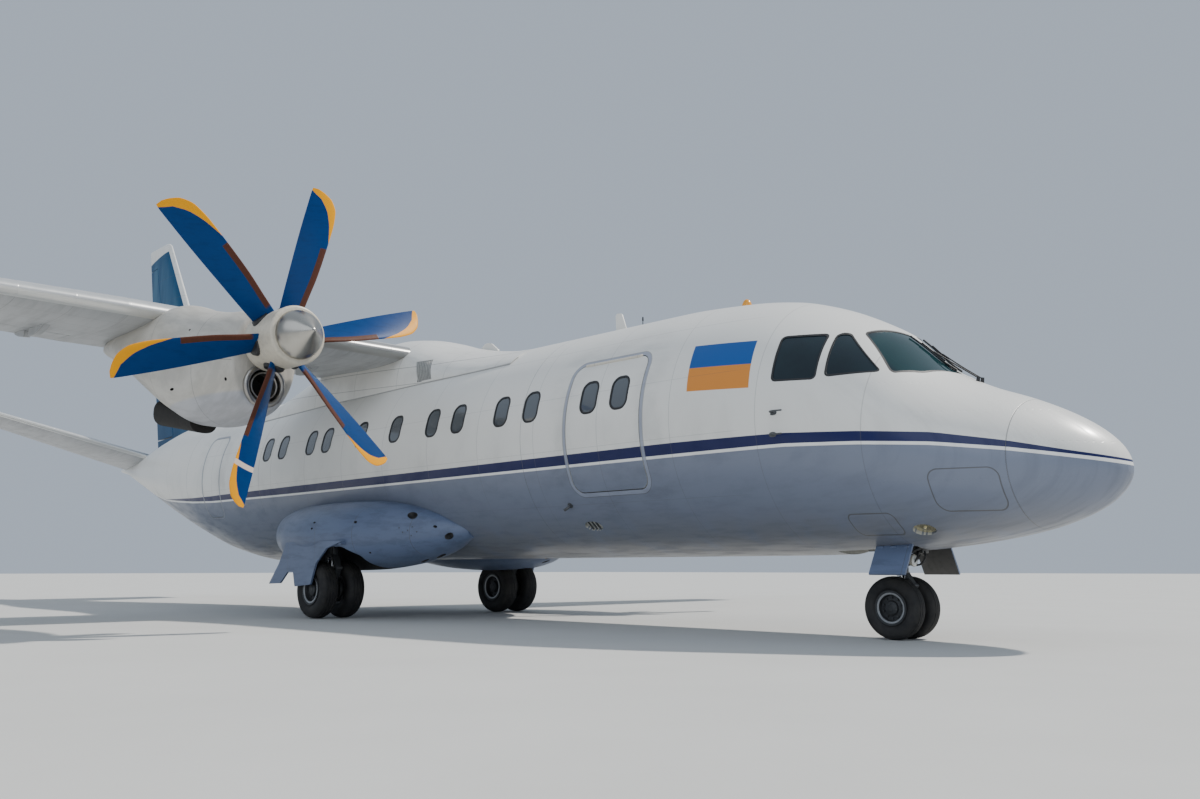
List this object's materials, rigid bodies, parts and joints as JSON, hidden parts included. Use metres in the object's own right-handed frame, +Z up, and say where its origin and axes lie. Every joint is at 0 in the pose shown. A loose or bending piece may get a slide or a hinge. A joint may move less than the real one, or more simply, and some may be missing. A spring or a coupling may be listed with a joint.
{
  "type": "twin turboprop airliner",
  "caption": "High-wing regional airliner parked on its wheels: six-blade propellers, wheel sponsons, forward cargo door, rear airstair, working flaps, ailerons, elevators and rudder.",
  "frame": {"origin": "on the ground, under the middle of the bounding box in plan", "axes": "+X to the aircraft's left wing tip, +Y towards the tail with the nose at -Y, +Z up"},
  "size_m": [24.505, 22.605, 8.232],
  "materials": {
    "white_paint": "gloss",
    "grey_paint": "satin",
    "cream_paint": "satin",
    "blue_paint": "satin",
    "teal_paint": "satin",
    "bare_metal": "polished",
    "wheel_metal": "satin",
    "gear_steel": "satin",
    "engine_metal": "matte",
    "exhaust_steel": "matte",
    "tyre_rubber": "matte",
    "glazing": "gloss"
  },
  "bodies": {
    "airframe": {"radome": "white_paint", "fuselage_front": "white_paint", "fuselage_centre": "white_paint", "cockpit_glazing": "glazing", "service_door": "white_paint", "fin": "teal_paint", "fuselage_rear": "white_paint", "fuselage_tail": "white_paint", "tail_cone": "white_paint", "wing_fairing": "white_paint", "wing_centre": "grey_paint", "nose_leg": "gear_steel", "wing_left": "grey_paint", "wing_right": "grey_paint", "tailplane_left": "grey_paint", "tailplane_right": "grey_paint", "nacelle_left": "cream_paint", "nacelle_right": "cream_paint", "engine_left": "engine_metal", "engine_right": "engine_metal", "exhaust_left": "exhaust_steel", "exhaust_right": "exhaust_steel", "intake_left": "bare_metal", "intake_right": "bare_metal", "sponson_left": "grey_paint", "sponson_right": "grey_paint", "main_door_left": "grey_paint", "main_door_right": "grey_paint", "main_leg_left": "gear_steel", "main_leg_right": "gear_steel", "nose_door_left": "grey_paint", "nose_door_right": "grey_paint"},
    "nose_steering": {"nose_fork": "gear_steel"},
    "nose_wheels": {"nose_hubs": "wheel_metal", "nose_tyre_left": "tyre_rubber", "nose_tyre_right": "tyre_rubber"},
    "rudder": {"rudder": "teal_paint"},
    "cargo_door": {"cargo_door": "white_paint"},
    "airstair_door": {"airstair_door": "white_paint"},
    "propeller_left": {"propeller_left": "blue_paint", "spinner_left": "bare_metal"},
    "main_wheels_left": {"main_hubs_left": "wheel_metal", "main_tyre_outer_left": "tyre_rubber", "main_tyre_inner_left": "tyre_rubber"},
    "flap_inner_left": {"flap_inner_left": "grey_paint"},
    "flap_outer_left": {"flap_outer_left": "grey_paint"},
    "aileron_left": {"aileron_left": "grey_paint"},
    "elevator_left": {"elevator_left": "grey_paint"},
    "propeller_right": {"propeller_right": "blue_paint", "spinner_right": "bare_metal"},
    "main_wheels_right": {"main_hubs_right": "wheel_metal", "main_tyre_outer_right": "tyre_rubber", "main_tyre_inner_right": "tyre_rubber"},
    "flap_inner_right": {"flap_inner_right": "grey_paint"},
    "flap_outer_right": {"flap_outer_right": "grey_paint"},
    "aileron_right": {"aileron_right": "grey_paint"},
    "elevator_right": {"elevator_right": "grey_paint"}
  },
  "joints": [
    {"name": "propeller_left_spin", "type": "hinge", "parent": "airframe", "child": "propeller_left", "pos_m": [4.153, -4.0595, 3.147], "axis": [0, 1, 0], "continuous": true},
    {"name": "main_wheels_left_roll", "type": "hinge", "parent": "airframe", "child": "main_wheels_left", "pos_m": [1.625, -1.0425, 0.40054], "axis": [1, 0, 0], "continuous": true},
    {"name": "flap_inner_left_turn", "type": "hinge", "parent": "airframe", "child": "flap_inner_left", "pos_m": [1.32, 0.1605, 3.82887], "axis": [-1, 0, 0], "range_deg": [0, 35]},
    {"name": "flap_outer_left_turn", "type": "hinge", "parent": "airframe", "child": "flap_outer_left", "pos_m": [5, 0.1529, 3.82961], "axis": [-0.9971, 0.0758, -0.0078], "range_deg": [0, 35]},
    {"name": "aileron_left_turn", "type": "hinge", "parent": "airframe", "child": "aileron_left", "pos_m": [8.33, -0.08208, 3.85448], "axis": [-0.9969, 0.0776, -0.0085], "range_deg": [-25, 25]},
    {"name": "elevator_left_turn", "type": "hinge", "parent": "airframe", "child": "elevator_left", "pos_m": [0.9, 9.93131, 3.14223], "axis": [-0.9618, -0.0932, -0.2573], "range_deg": [-25, 25]},
    {"name": "propeller_right_spin", "type": "hinge", "parent": "airframe", "child": "propeller_right", "pos_m": [-4.153, -4.0595, 3.147], "axis": [0, 1, 0], "continuous": true},
    {"name": "main_wheels_right_roll", "type": "hinge", "parent": "airframe", "child": "main_wheels_right", "pos_m": [-1.625, -1.0425, 0.40054], "axis": [1, 0, 0], "continuous": true},
    {"name": "flap_inner_right_turn", "type": "hinge", "parent": "airframe", "child": "flap_inner_right", "pos_m": [-1.32, 0.1605, 3.82887], "axis": [-1, 0, 0], "range_deg": [0, 35]},
    {"name": "flap_outer_right_turn", "type": "hinge", "parent": "airframe", "child": "flap_outer_right", "pos_m": [-5, 0.1529, 3.82961], "axis": [-0.9971, -0.0758, 0.0078], "range_deg": [0, 35]},
    {"name": "aileron_right_turn", "type": "hinge", "parent": "airframe", "child": "aileron_right", "pos_m": [-8.33, -0.08208, 3.85448], "axis": [-0.9969, -0.0776, 0.0085], "range_deg": [-25, 25]},
    {"name": "elevator_right_turn", "type": "hinge", "parent": "airframe", "child": "elevator_right", "pos_m": [-0.9, 9.93131, 3.14223], "axis": [-0.9618, 0.0932, 0.2573], "range_deg": [-25, 25]},
    {"name": "rudder_turn", "type": "hinge", "parent": "airframe", "child": "rudder", "pos_m": [0, 8.37815, 3.56], "axis": [0, 0.3697, 0.9291], "range_deg": [-25, 25]},
    {"name": "nose_steering_turn", "type": "hinge", "parent": "airframe", "child": "nose_steering", "pos_m": [0, -9.0725, 0.62], "axis": [0, 0, 1], "range_deg": [-55, 55]},
    {"name": "nose_wheels_roll", "type": "hinge", "parent": "nose_steering", "child": "nose_wheels", "pos_m": [0, -9.0725, 0.30735], "axis": [1, 0, 0], "continuous": true},
    {"name": "cargo_door_lift", "type": "hinge", "parent": "airframe", "child": "cargo_door", "pos_m": [-1.21069, -6.275, 3.015], "axis": [0, 1, 0], "range_deg": [0, 90]},
    {"name": "airstair_door_fold", "type": "hinge", "parent": "airframe", "child": "airstair_door", "pos_m": [1.23899, 2.6175, 1.54], "axis": [0, 1, 0], "range_deg": [0, 140]}
  ]
}
